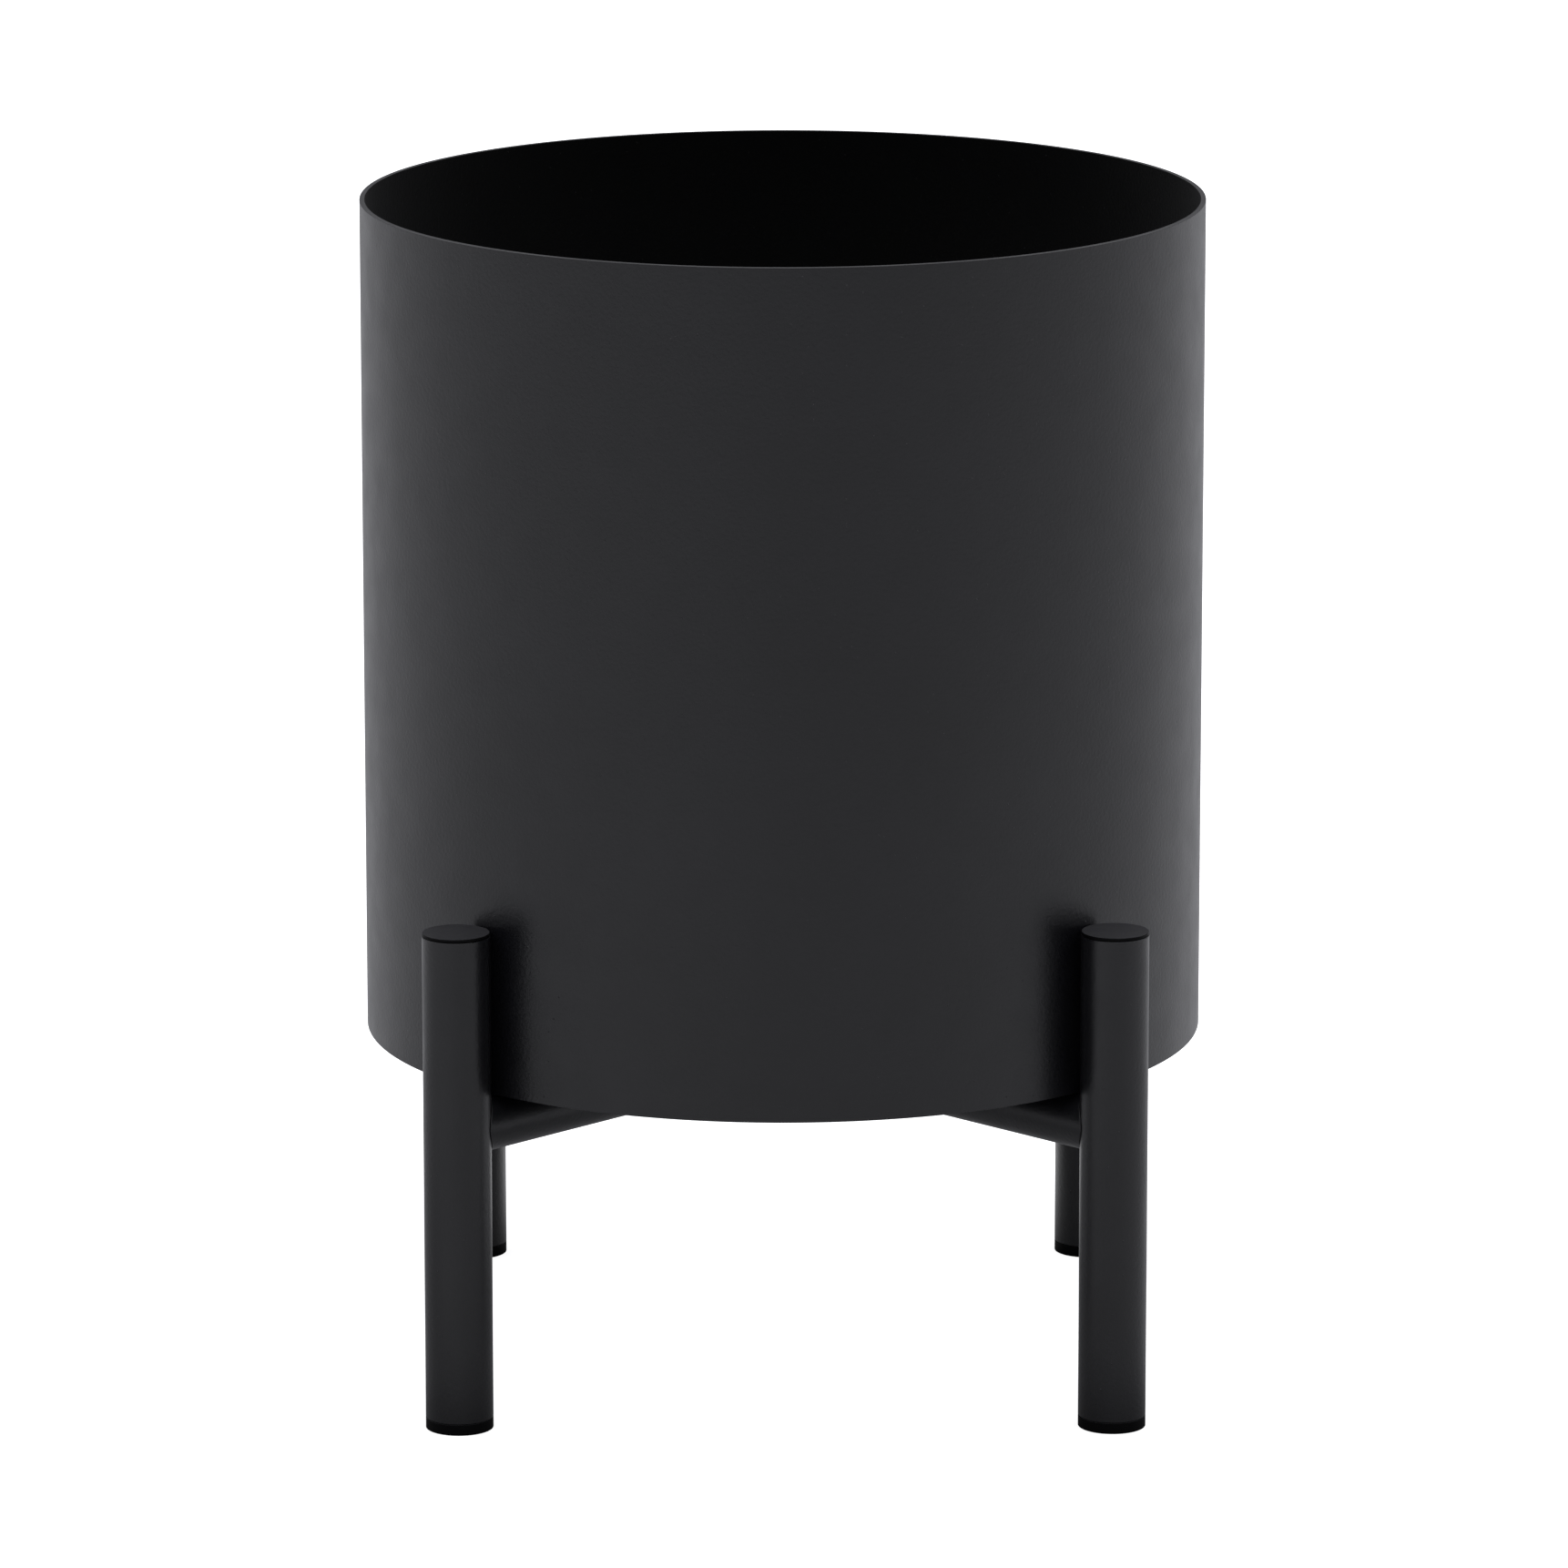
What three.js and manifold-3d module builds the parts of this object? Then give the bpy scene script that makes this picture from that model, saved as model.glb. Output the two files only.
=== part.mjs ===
// Ashtray bin: an open round pot that stands in a low four-leg tube stand, with a lift-out bucket and a
// perforated stub plate inside. Millimetres, +Z up, the origin on the floor under the middle of the pot.
// -Y is the front; the legs stand on the diagonals.
import * as THREE from "three";
import { mergeVertices } from "three/addons/utils/BufferGeometryUtils.js";
import Module from "manifold-3d";

const wasm = await Module();
wasm.setup();

// Clearance between pieces that touch on the real object.
const GAP = 0.3;

// Pot: rolled sheet wall with a floor plate set a little way up inside it.
const POT_DIAMETER = 400;
const POT_HEIGHT = 400;
const POT_BOTTOM = 159.5;
const POT_WALL = 2.5;
const POT_EDGE_ROUND = 0.7;
const FLOOR_RECESS = 3 + GAP;
const FLOOR_THICKNESS = 3;
const DRAIN_DIAMETER = 12;
const DRAIN_RADIUS = 100;
const PAD_DIAMETER = 28;
const PAD_RADIUS = 148;
const POT_SIDES = 96;

// Stand: four upright tubes joined under the pot by two crossing tubes.
const LEG_DIAMETER = 31.8;
const LEG_WALL = 1.6;
const LEG_TOP = 239.2;
const LEG_PLACE = 153.2; // along X and along Y
const BAR_DIAMETER = 28;
const BAR_WALL = 1.6;
const TOP_CAP_THICKNESS = 1.5;
const TOP_CAP_INSET = 0.4;
const TOP_PLUG_LENGTH = 12;
const FOOT_CAP_THICKNESS = 5.2;
const FOOT_PLUG_LENGTH = 18;
const PLUG_WALL = 1.8;
const CAP_EDGE_ROUND = 0.3;
const TUBE_SIDES = 24;

// Bucket: tapered sheet wall with a rolled top edge, a pressed floor, two ears and a wire bail.
const BUCKET_BOTTOM_RADIUS = 157;
const BUCKET_TOP_RADIUS = 168;
const BUCKET_TOP = 462;
const BUCKET_WALL = 1.2;
const BUCKET_EDGE_RADIUS = 3.5;
const BUCKET_EDGE_OFFSET = 2.8;
const BUCKET_FLOOR_RAISE = 3.5;
const BUCKET_FLOOR_INSET = 0.7;
const BUCKET_SIDES = 64;
const PIVOT_HEIGHT = 436;
const EAR_HEIGHT = 20;
const EAR_THICKNESS = 2;
const EAR_STANDOFF = 9;
const EAR_HALF_LENGTH = 21;
const EAR_FOOT = 11.7; // half the length of the crown where its sides meet the flanges
const EAR_CROWN = 8.2; // half the length of its flat top
const EAR_RIVET_OFFSET = 16;
const BAIL_RADIUS = 186;
const BAIL_WIRE = 6;
const BAIL_DROOP = 24;
const BAIL_HEAD_LENGTH = 2;
const RIVET_SHANK = 2;

// Stub plate: a dished, perforated plate that lies on the bucket's rolled edge.
const PLATE_THICKNESS = 1.5;
const PLATE_RADIUS = 176.7;
const PLATE_LIP = 8;
const DISH_DEPTH = 13.8;
const DISH_RADIUS = 136;
const DISH_SLOPE = 12;
const STUB_HOLE_DIAMETER = 14;
const STUB_RINGS = [40, 67, 94, 121];
const STUB_PITCH = 29;
const RING_WIRE = 5;
const RING_RADIUS = 25;
const RING_LIFT = 0.5;
const SADDLE_WIDTH = 14;
const SADDLE_THICKNESS = 1.5;
const SADDLE_HALF_LENGTH = 15;
const SADDLE_RIVET_OFFSET = 10.5;

// Places that follow from the sizes above.
const POT_RADIUS = POT_DIAMETER / 2;
const POT_INNER = POT_RADIUS - POT_WALL;
const POT_TOP = POT_BOTTOM + POT_HEIGHT;
const FLOOR_UNDER = POT_BOTTOM + FLOOR_RECESS;
const FLOOR_TOP = FLOOR_UNDER + FLOOR_THICKNESS;
const LEG_RADIUS = LEG_DIAMETER / 2;
const LEG_PLUG_RADIUS = LEG_RADIUS - LEG_WALL - GAP;
const LEG_AXIS = LEG_PLACE * Math.SQRT2;
const BAR_RADIUS = BAR_DIAMETER / 2;
const BAR_HEIGHT = POT_BOTTOM - GAP - BAR_RADIUS;
const BUCKET_BOTTOM = FLOOR_TOP + GAP;
const EDGE_HEIGHT = BUCKET_TOP - BUCKET_EDGE_RADIUS;
const EAR_PLANE = BUCKET_TOP_RADIUS;
const PLATE_UNDER = BUCKET_TOP + GAP;
const PLATE_TOP = PLATE_UNDER + PLATE_THICKNESS;
const DISH_TOP = PLATE_TOP - DISH_DEPTH;
const RING_HEIGHT = DISH_TOP + RING_LIFT + RING_WIRE / 2;

// The four corners of the stand, as steps along X and Y.
const CORNERS = {
  front_left: [-1, -1],
  front_right: [1, -1],
  rear_right: [1, 1],
  rear_left: [-1, 1],
};

// Materials.
const paint = { color: 0x2b2b2d, roughness: 0.55, metalness: 0.2 };
const plastic = { color: 0x0e0e10, roughness: 0.45, metalness: 0 };
const rubber = { color: 0x141414, roughness: 0.9, metalness: 0 };
const galvanised = { color: 0x9ea3a6, roughness: 0.45, metalness: 0.9 };
const stainless = { color: 0xb8babc, roughness: 0.35, metalness: 1 };

// --- Geometry helpers ---------------------------------------------------------------------------------

// A profile of [radius, height] points turned about Z. Its points run up the outside and down the inside.
function revolve(profile, sides) {
  const points = profile.map(([radius, height]) => new THREE.Vector2(radius, height));
  return new THREE.LatheGeometry(points, sides).rotateX(Math.PI / 2);
}

function revolveRing(profile, sides) {
  return revolve([...profile, profile[0]], sides);
}

function rod(radius, length, sides) {
  return new THREE.CylinderGeometry(radius, radius, length, sides).rotateX(Math.PI / 2);
}

// The corners of a regular arc, from one angle to another, in degrees.
function arcPoints(centre, radius, from, to, steps) {
  return Array.from({ length: steps + 1 }, (_, i) => {
    const angle = THREE.MathUtils.degToRad(from + ((to - from) * i) / steps);
    return [centre[0] + radius * Math.cos(angle), centre[1] + radius * Math.sin(angle)];
  });
}

function toSolid(geometry) {
  const bare = geometry.clone();
  bare.deleteAttribute("normal");
  bare.deleteAttribute("uv");
  const merged = mergeVertices(bare, 1e-3);
  const vertProperties = merged.attributes.position.array;
  const triVerts = new Uint32Array(merged.index.array);
  return new wasm.Manifold(new wasm.Mesh({ numProp: 3, vertProperties, triVerts }));
}

function toGeometry(solid) {
  const mesh = solid.getMesh();
  const geometry = new THREE.BufferGeometry();
  geometry.setAttribute("position", new THREE.BufferAttribute(mesh.vertProperties, 3));
  geometry.setIndex(new THREE.BufferAttribute(mesh.triVerts, 1));
  geometry.computeVertexNormals();
  return geometry;
}

function cut(geometry, tools) {
  return toGeometry(tools.reduce((solid, tool) => solid.subtract(toSolid(tool)), toSolid(geometry)));
}

function join(geometries) {
  return toGeometry(geometries.map(toSolid).reduce((sum, solid) => sum.add(solid)));
}

function piece(name, geometry, material) {
  const mesh = new THREE.Mesh(geometry, new THREE.MeshStandardMaterial(material));
  mesh.name = name;
  return mesh;
}

// A flat arc of round wire in the XY plane, from one angle to another.
class WireArc extends THREE.Curve {
  constructor(radius, from, to) {
    super();
    Object.assign(this, { radius, from, to });
  }

  getPoint(t) {
    const angle = this.from + (this.to - this.from) * t;
    return new THREE.Vector3(this.radius * Math.cos(angle), this.radius * Math.sin(angle), 0);
  }
}

function wireArc(radius, from, to, wire, steps) {
  const section = new THREE.Shape(new THREE.Path().absarc(0, 0, wire / 2, 0, 2 * Math.PI).getPoints(4));
  return new THREE.ExtrudeGeometry(section, { extrudePath: new WireArc(radius, from, to), steps });
}

function rivet(headRadius, headHeight, shankRadius, grip, tailRadius, tailHeight) {
  const profile = [
    [0, -grip - tailHeight],
    [tailRadius, -grip - tailHeight],
    [tailRadius, -grip],
    [shankRadius, -grip],
    [shankRadius, 0],
    [headRadius, 0],
    [headRadius * 0.75, headHeight * 0.75],
    [headRadius * 0.35, headHeight],
    [0, headHeight],
  ];
  return revolve(profile, 12);
}

// --- Stand --------------------------------------------------------------------------------------------

function legTube() {
  const low = FOOT_CAP_THICKNESS + GAP;
  const high = LEG_TOP - TOP_CAP_THICKNESS - GAP;
  const inner = LEG_RADIUS - LEG_WALL;
  const profile = [[inner, low], [LEG_RADIUS, low], [LEG_RADIUS, high], [inner, high]];
  return revolveRing(profile, TUBE_SIDES);
}

// A push-in cap as it sits on a leg's top: a flange on a hollow plug, the flange's outer face at height 0.
function endCap(radius, thickness, plugLength) {
  const bore = LEG_PLUG_RADIUS - PLUG_WALL;
  const profile = [
    [0, -thickness],
    [bore, -thickness],
    [bore, -thickness - plugLength],
    [LEG_PLUG_RADIUS, -thickness - plugLength],
    [LEG_PLUG_RADIUS, -thickness],
    [radius, -thickness],
    [radius, -CAP_EDGE_ROUND],
    [radius - CAP_EDGE_ROUND, 0],
    [0, 0],
  ];
  return revolve(profile, TUBE_SIDES);
}

// A cross tube along X between two places, before its ends are shaped.
function barTube(from, to) {
  const length = to - from;
  const outer = rod(BAR_RADIUS, length, TUBE_SIDES).rotateY(Math.PI / 2);
  const bore = rod(BAR_RADIUS - BAR_WALL, length + 1, TUBE_SIDES).rotateY(Math.PI / 2);
  return cut(outer, [bore]).translate((from + to) / 2, 0, 0);
}

// The upright leg at one end of a bar, as the shape that its end is coped to.
function legCope(x) {
  return rod(LEG_RADIUS + GAP, 2 * BAR_DIAMETER, TUBE_SIDES).translate(x, 0, 0);
}

function longBar() {
  return cut(barTube(-LEG_AXIS, LEG_AXIS), [legCope(-LEG_AXIS), legCope(LEG_AXIS)]);
}

function shortBar() {
  const through = rod(BAR_RADIUS + GAP, 2 * BAR_DIAMETER, TUBE_SIDES).rotateX(Math.PI / 2);
  return cut(barTube(0, LEG_AXIS), [through, legCope(LEG_AXIS)]);
}

function makeStand() {
  const stand = new THREE.Group();
  for (const [corner, [x, y]] of Object.entries(CORNERS)) {
    const leg = new THREE.Group();
    leg.position.set(x * LEG_PLACE, y * LEG_PLACE, 0);
    const topCap = endCap(LEG_RADIUS - TOP_CAP_INSET, TOP_CAP_THICKNESS, TOP_PLUG_LENGTH);
    const footCap = endCap(LEG_RADIUS, FOOT_CAP_THICKNESS, FOOT_PLUG_LENGTH);
    const top = piece(`top_cap_${corner}`, topCap, plastic);
    top.position.z = LEG_TOP;
    const foot = piece(`foot_cap_${corner}`, footCap, plastic);
    foot.rotation.x = Math.PI;
    leg.add(piece(`leg_${corner}`, legTube(), paint), top, foot);
    stand.add(leg);
  }
  const bars = new THREE.Group();
  bars.position.z = BAR_HEIGHT;
  bars.rotation.z = Math.PI / 4;
  const right = piece("cross_bar_short_right", shortBar(), paint);
  right.rotation.z = -Math.PI / 2;
  const left = piece("cross_bar_short_left", shortBar(), paint);
  left.rotation.z = Math.PI / 2;
  bars.add(piece("cross_bar_long", longBar(), paint), right, left);
  stand.add(bars);
  return stand;
}

// --- Pot ----------------------------------------------------------------------------------------------

function potShell() {
  const profile = [
    [POT_INNER, POT_BOTTOM],
    [POT_RADIUS, POT_BOTTOM],
    [POT_RADIUS, POT_TOP - POT_EDGE_ROUND],
    [POT_RADIUS - POT_EDGE_ROUND, POT_TOP],
    [POT_INNER + POT_EDGE_ROUND, POT_TOP],
    [POT_INNER, POT_TOP - POT_EDGE_ROUND],
  ];
  return revolveRing(profile, POT_SIDES);
}

function potFloor() {
  const radius = POT_INNER - GAP;
  const profile = [[0, FLOOR_UNDER], [radius, FLOOR_UNDER], [radius, FLOOR_TOP], [0, FLOOR_TOP]];
  const drains = [0, 1, 2, 3].map((quarter) => {
    const drill = rod(DRAIN_DIAMETER / 2, 4 * FLOOR_THICKNESS, 16);
    return drill.translate(DRAIN_RADIUS, 0, FLOOR_TOP).rotateZ((quarter * Math.PI) / 2);
  });
  return cut(revolve(profile, POT_SIDES), drains);
}

function makePot() {
  const pot = new THREE.Group();
  pot.add(piece("pot_shell", potShell(), paint), piece("pot_base", potFloor(), paint));
  const padThickness = FLOOR_RECESS - GAP;
  for (const [corner, [x, y]] of Object.entries(CORNERS)) {
    const pad = piece(`base_pad_${corner}`, rod(PAD_DIAMETER / 2, padThickness, TUBE_SIDES), rubber);
    pad.position.set(x * PAD_RADIUS * Math.SQRT1_2, y * PAD_RADIUS * Math.SQRT1_2, 0);
    pad.position.z = POT_BOTTOM + padThickness / 2;
    pot.add(pad);
  }
  return pot;
}

// --- Bucket -------------------------------------------------------------------------------------------

function earRivet() {
  const taper = 2.6; // from the ear's flat flange to the bucket's curved wall
  const grip = EAR_THICKNESS + BUCKET_WALL + taper;
  return rivet(4, 1.8, RIVET_SHANK, grip, 3.4, 1).rotateY(Math.PI / 2);
}

// Shank holes along X through the wall, two at each ear.
function rivetDrills() {
  return [-1, 1].flatMap((side) =>
    [-1, 1].map((end) => {
      const drill = rod(RIVET_SHANK + GAP, 16, 12).rotateY(Math.PI / 2);
      return drill.translate(side * EAR_PLANE, end * EAR_RIVET_OFFSET, PIVOT_HEIGHT);
    }),
  );
}

function bucketWall() {
  const edgeCentre = [BUCKET_TOP_RADIUS + BUCKET_EDGE_OFFSET, EDGE_HEIGHT];
  const rolled = arcPoints(edgeCentre, BUCKET_EDGE_RADIUS, -125, 160, 5);
  const profile = [
    [BUCKET_BOTTOM_RADIUS - BUCKET_WALL, BUCKET_BOTTOM],
    [BUCKET_BOTTOM_RADIUS, BUCKET_BOTTOM],
    ...rolled,
    [BUCKET_TOP_RADIUS - BUCKET_WALL, EDGE_HEIGHT - 1],
  ];
  return cut(revolveRing(profile, BUCKET_SIDES), rivetDrills());
}

function bucketFloor() {
  const radius = BUCKET_BOTTOM_RADIUS - BUCKET_WALL - BUCKET_FLOOR_INSET;
  const low = BUCKET_BOTTOM + GAP;
  const under = BUCKET_BOTTOM + BUCKET_FLOOR_RAISE;
  const profile = [
    [0, under],
    [radius - BUCKET_WALL, under],
    [radius - BUCKET_WALL, low],
    [radius, low],
    [radius, under + BUCKET_WALL],
    [0, under + BUCKET_WALL],
  ];
  return revolve(profile, BUCKET_SIDES);
}

// A hat-shaped strap seen from above, its flanges on the bucket and its crown out along +X.
function bailEar() {
  const inset = 1.2; // of the inner corners behind the outer ones, along Y
  const outline = [
    [0, -EAR_HALF_LENGTH],
    [EAR_THICKNESS, -EAR_HALF_LENGTH],
    [EAR_THICKNESS, -EAR_FOOT],
    [EAR_STANDOFF, -EAR_CROWN],
    [EAR_STANDOFF, EAR_CROWN],
    [EAR_THICKNESS, EAR_FOOT],
    [EAR_THICKNESS, EAR_HALF_LENGTH],
    [0, EAR_HALF_LENGTH],
    [0, EAR_FOOT - inset],
    [EAR_STANDOFF - EAR_THICKNESS, EAR_CROWN - inset],
    [EAR_STANDOFF - EAR_THICKNESS, inset - EAR_CROWN],
    [0, inset - EAR_FOOT],
  ];
  const shape = new THREE.Shape(outline.map(([x, y]) => new THREE.Vector2(x, y)));
  const strap = new THREE.ExtrudeGeometry(shape, { depth: EAR_HEIGHT, bevelEnabled: false });
  strap.translate(0, 0, -EAR_HEIGHT / 2);
  const drill = (radius, y) => rod(radius, 40, 16).rotateY(Math.PI / 2).translate(0, y, 0);
  const shanks = [-1, 1].map((end) => drill(RIVET_SHANK + GAP, end * EAR_RIVET_OFFSET));
  return cut(strap, [drill(BAIL_WIRE / 2 + 0.6, 0), ...shanks]);
}

// The bail lying flat to the rear, its pivot axis along X: an arc of wire with headed ends turned inwards.
function bailWire() {
  const arc = wireArc(BAIL_RADIUS, 0, Math.PI, BAIL_WIRE, 32);
  const headFace = EAR_PLANE + EAR_STANDOFF - EAR_THICKNESS - GAP;
  const ends = [0, Math.PI].flatMap((turn) => {
    const pinLength = BAIL_RADIUS - headFace + BAIL_HEAD_LENGTH;
    const pin = rod(BAIL_WIRE / 2, pinLength, 12).rotateY(Math.PI / 2);
    const head = rod(BAIL_WIRE / 2 + 1.8, BAIL_HEAD_LENGTH, 12).rotateY(Math.PI / 2);
    const elbow = new THREE.SphereGeometry(BAIL_WIRE / 2, 12, 8).translate(BAIL_RADIUS, 0, 0);
    return [
      pin.translate(BAIL_RADIUS - pinLength / 2, 0, 0).rotateZ(turn),
      head.translate(headFace - BAIL_HEAD_LENGTH / 2, 0, 0).rotateZ(turn),
      elbow.rotateZ(turn),
    ];
  });
  return join([arc, ...ends]);
}

function makeBucket() {
  const bucket = new THREE.Group();
  bucket.add(piece("liner_wall", bucketWall(), galvanised), piece("liner_base", bucketFloor(), galvanised));
  for (const [side, turn] of [["left", Math.PI], ["right", 0]]) {
    const ear = new THREE.Group();
    ear.rotation.z = turn;
    ear.position.z = PIVOT_HEIGHT;
    const strap = piece(`bail_ear_${side}`, bailEar(), galvanised);
    strap.position.x = EAR_PLANE;
    ear.add(strap);
    for (const [place, end] of [["a", -1], ["b", 1]]) {
      const fixing = piece(`ear_rivet_${side}_${place}`, earRivet(), galvanised);
      fixing.position.set(EAR_PLANE + EAR_THICKNESS + GAP, end * EAR_RIVET_OFFSET, 0);
      ear.add(fixing);
    }
    bucket.add(ear);
  }
  const bail = piece("bail", bailWire(), galvanised);
  bail.position.z = PIVOT_HEIGHT;
  bail.rotation.x = THREE.MathUtils.degToRad(-BAIL_DROOP);
  bucket.add(bail);
  return bucket;
}

// --- Stub plate ---------------------------------------------------------------------------------------

function stubPlate() {
  const dishUnder = DISH_TOP - PLATE_THICKNESS;
  const rise = DISH_RADIUS + DISH_SLOPE;
  const lipInner = PLATE_RADIUS - PLATE_THICKNESS;
  const lipLow = PLATE_TOP - PLATE_LIP;
  const profile = [
    [0, dishUnder],
    [DISH_RADIUS, dishUnder],
    [rise, PLATE_UNDER],
    [lipInner, PLATE_UNDER],
    [lipInner, lipLow],
    [PLATE_RADIUS, lipLow],
    [PLATE_RADIUS, PLATE_TOP - 1],
    [PLATE_RADIUS - 1, PLATE_TOP],
    [rise, PLATE_TOP],
    [DISH_RADIUS, DISH_TOP],
    [0, DISH_TOP],
  ];
  const depth = 4 * PLATE_THICKNESS;
  const holes = STUB_RINGS.flatMap((radius) => {
    const count = Math.floor((2 * Math.PI * radius) / STUB_PITCH);
    return Array.from({ length: count }, (_, i) => {
      const hole = rod(STUB_HOLE_DIAMETER / 2, depth, 8).translate(radius, 0, DISH_TOP);
      return hole.rotateZ((2 * Math.PI * i) / count);
    });
  });
  const shanks = [-1, 1].map((end) => {
    return rod(RIVET_SHANK + GAP, depth, 12).translate(0, end * SADDLE_RIVET_OFFSET, DISH_TOP);
  });
  return cut(revolve(profile, BUCKET_SIDES), [...holes, ...shanks]);
}

// A strap across the plate's middle with an arch over the ring's straight side, its feet at height 0.
function saddle() {
  const hub = RING_HEIGHT - DISH_TOP - GAP;
  const inner = RING_WIRE / 2 + 0.6;
  const outer = inner + SADDLE_THICKNESS;
  const outline = [
    [-SADDLE_HALF_LENGTH, 0],
    [-inner, 0],
    ...arcPoints([0, hub], inner, 180, 0, 8),
    [inner, 0],
    [SADDLE_HALF_LENGTH, 0],
    [SADDLE_HALF_LENGTH, SADDLE_THICKNESS],
    [outer, SADDLE_THICKNESS],
    ...arcPoints([0, hub], outer, 0, 180, 8),
    [-outer, SADDLE_THICKNESS],
    [-SADDLE_HALF_LENGTH, SADDLE_THICKNESS],
  ];
  const shape = new THREE.Shape(outline.map(([y, z]) => new THREE.Vector2(y, z)));
  const strap = new THREE.ExtrudeGeometry(shape, { depth: SADDLE_WIDTH, bevelEnabled: false });
  strap.translate(0, 0, -SADDLE_WIDTH / 2).rotateX(Math.PI / 2).rotateZ(Math.PI / 2);
  const shanks = [-1, 1].map((end) => {
    return rod(RIVET_SHANK + GAP, 20, 12).translate(0, end * SADDLE_RIVET_OFFSET, 0);
  });
  return cut(strap, shanks);
}

// A D of wire lying flat, its straight side along X and its bow to the front.
function liftRing() {
  const bow = wireArc(RING_RADIUS, Math.PI, 2 * Math.PI, RING_WIRE, 14);
  const side = rod(RING_WIRE / 2, 2 * RING_RADIUS, 12).rotateY(Math.PI / 2);
  const corners = [-1, 1].map((end) => {
    return new THREE.SphereGeometry(RING_WIRE / 2, 12, 8).translate(end * RING_RADIUS, 0, 0);
  });
  return join([bow, side, ...corners]);
}

function makeTray() {
  const tray = new THREE.Group();
  const strap = piece("ring_saddle", saddle(), stainless);
  strap.position.z = DISH_TOP + GAP;
  const ring = piece("lift_ring", liftRing(), stainless);
  ring.position.z = RING_HEIGHT;
  tray.add(piece("stub_plate", stubPlate(), stainless), strap, ring);
  for (const [place, end] of [["front", -1], ["rear", 1]]) {
    const grip = PLATE_THICKNESS + SADDLE_THICKNESS + 3 * GAP;
    const fixing = piece(`saddle_rivet_${place}`, rivet(3.6, 1.4, RIVET_SHANK, grip, 3.2, 1), stainless);
    fixing.position.set(0, end * SADDLE_RIVET_OFFSET, DISH_TOP + SADDLE_THICKNESS + 2 * GAP);
    tray.add(fixing);
  }
  return tray;
}

const bin = new THREE.Group();
bin.add(makeStand(), makePot(), makeBucket(), makeTray());

export default bin;
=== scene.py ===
"""Looks of the ashtray bin: fine surfaces, materials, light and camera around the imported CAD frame.

Metres, +Z up. The origin is on the floor under the pot's axis, and -Y is the front.
"""

import math

import bpy
from mathutils import Matrix, Vector


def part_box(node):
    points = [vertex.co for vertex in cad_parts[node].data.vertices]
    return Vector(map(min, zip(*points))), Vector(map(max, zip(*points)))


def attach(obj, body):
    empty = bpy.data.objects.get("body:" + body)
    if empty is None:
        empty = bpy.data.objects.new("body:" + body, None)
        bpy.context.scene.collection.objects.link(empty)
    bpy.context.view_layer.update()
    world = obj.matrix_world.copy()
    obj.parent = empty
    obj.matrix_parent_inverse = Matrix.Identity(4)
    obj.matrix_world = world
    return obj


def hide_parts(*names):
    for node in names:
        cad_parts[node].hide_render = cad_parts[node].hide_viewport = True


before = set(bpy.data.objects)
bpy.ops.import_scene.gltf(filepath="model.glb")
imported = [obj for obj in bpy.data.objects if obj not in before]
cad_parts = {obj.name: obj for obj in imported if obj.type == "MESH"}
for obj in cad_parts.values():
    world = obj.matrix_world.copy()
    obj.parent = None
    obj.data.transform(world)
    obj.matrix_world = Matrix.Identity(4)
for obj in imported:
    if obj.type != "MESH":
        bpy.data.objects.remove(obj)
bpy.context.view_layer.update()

MM = 0.001
TAU = 2 * math.pi
QUARTER = TAU / 4
EIGHTH = TAU / 8

# ---------------------------------------------------------------------------------------------------
# Sizes, from the frame's boxes and the gauges of sheet, tube and wire that the boxes can't show
# ---------------------------------------------------------------------------------------------------

SEAT_GAP = 0.3 * MM

pot_low, pot_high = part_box("pot_shell")
POT_RADIUS = pot_high.x
POT_BOTTOM, POT_TOP = pot_low.z, pot_high.z
POT_WALL = 2.5 * MM
POT_INNER = POT_RADIUS - POT_WALL
floor_low, floor_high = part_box("pot_base")
DRAIN_RADIUS = 100 * MM
DRAIN_HOLE = 6 * MM
STITCHES = 12
STITCH_ANGLE = 0.12  # radians
STITCH_SIZE = 1.3 * MM

leg_low, leg_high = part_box("leg_front_right")
LEG_RADIUS = (leg_high.x - leg_low.x) / 2
LEG_WALL = 1.6 * MM
LEG_PLACE = (leg_low.x + leg_high.x) / 2
LEG_AXIS = LEG_PLACE * math.sqrt(2)
PLUG_RADIUS = LEG_RADIUS - LEG_WALL - SEAT_GAP
PLUG_WALL = 1.8 * MM
TOP_CAP_LAP = 0.15 * MM

bar_low, bar_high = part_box("cross_bar_long")
BAR_RADIUS = (bar_high.z - bar_low.z) / 2
BAR_HEIGHT = (bar_high.z + bar_low.z) / 2
BAR_WALL = 1.6 * MM
BEAD = 0.25 * MM
RIPPLE_PITCH = 1.8 * MM

bucket_low, bucket_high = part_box("liner_wall")
bucket_floor_low, bucket_floor_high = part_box("liner_base")
ear_low, ear_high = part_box("bail_ear_right")
BUCKET_BOTTOM, BUCKET_TOP = bucket_low.z, bucket_high.z
BUCKET_WALL = 1.2 * MM
BUCKET_TOP_RADIUS = ear_low.x
BUCKET_FLOOR_ROOM = 1.9 * MM
BUCKET_BOTTOM_RADIUS = bucket_floor_high.x + BUCKET_FLOOR_ROOM
ROLL_RADIUS = 3.5 * MM
ROLL_OFFSET = 2.8 * MM
ROLL_PLACE = BUCKET_TOP_RADIUS + ROLL_OFFSET
ROLL_START, ROLL_END = math.radians(-115), math.radians(175)
SHEET_TOP = BUCKET_TOP - 2 * ROLL_RADIUS
SWAGE_SHARES = (0.32, 0.64)
SWAGE_RISE = 0.9 * MM
SWAGE_WIDTH = 5 * MM
PIVOT_HEIGHT = (ear_low.z + ear_high.z) / 2
EAR_THICKNESS = 2 * MM
RIVET_OFFSET = 16 * MM
BAIL_WIRE = 3 * MM
BAIL_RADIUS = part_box("bail")[1].x - BAIL_WIRE
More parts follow.
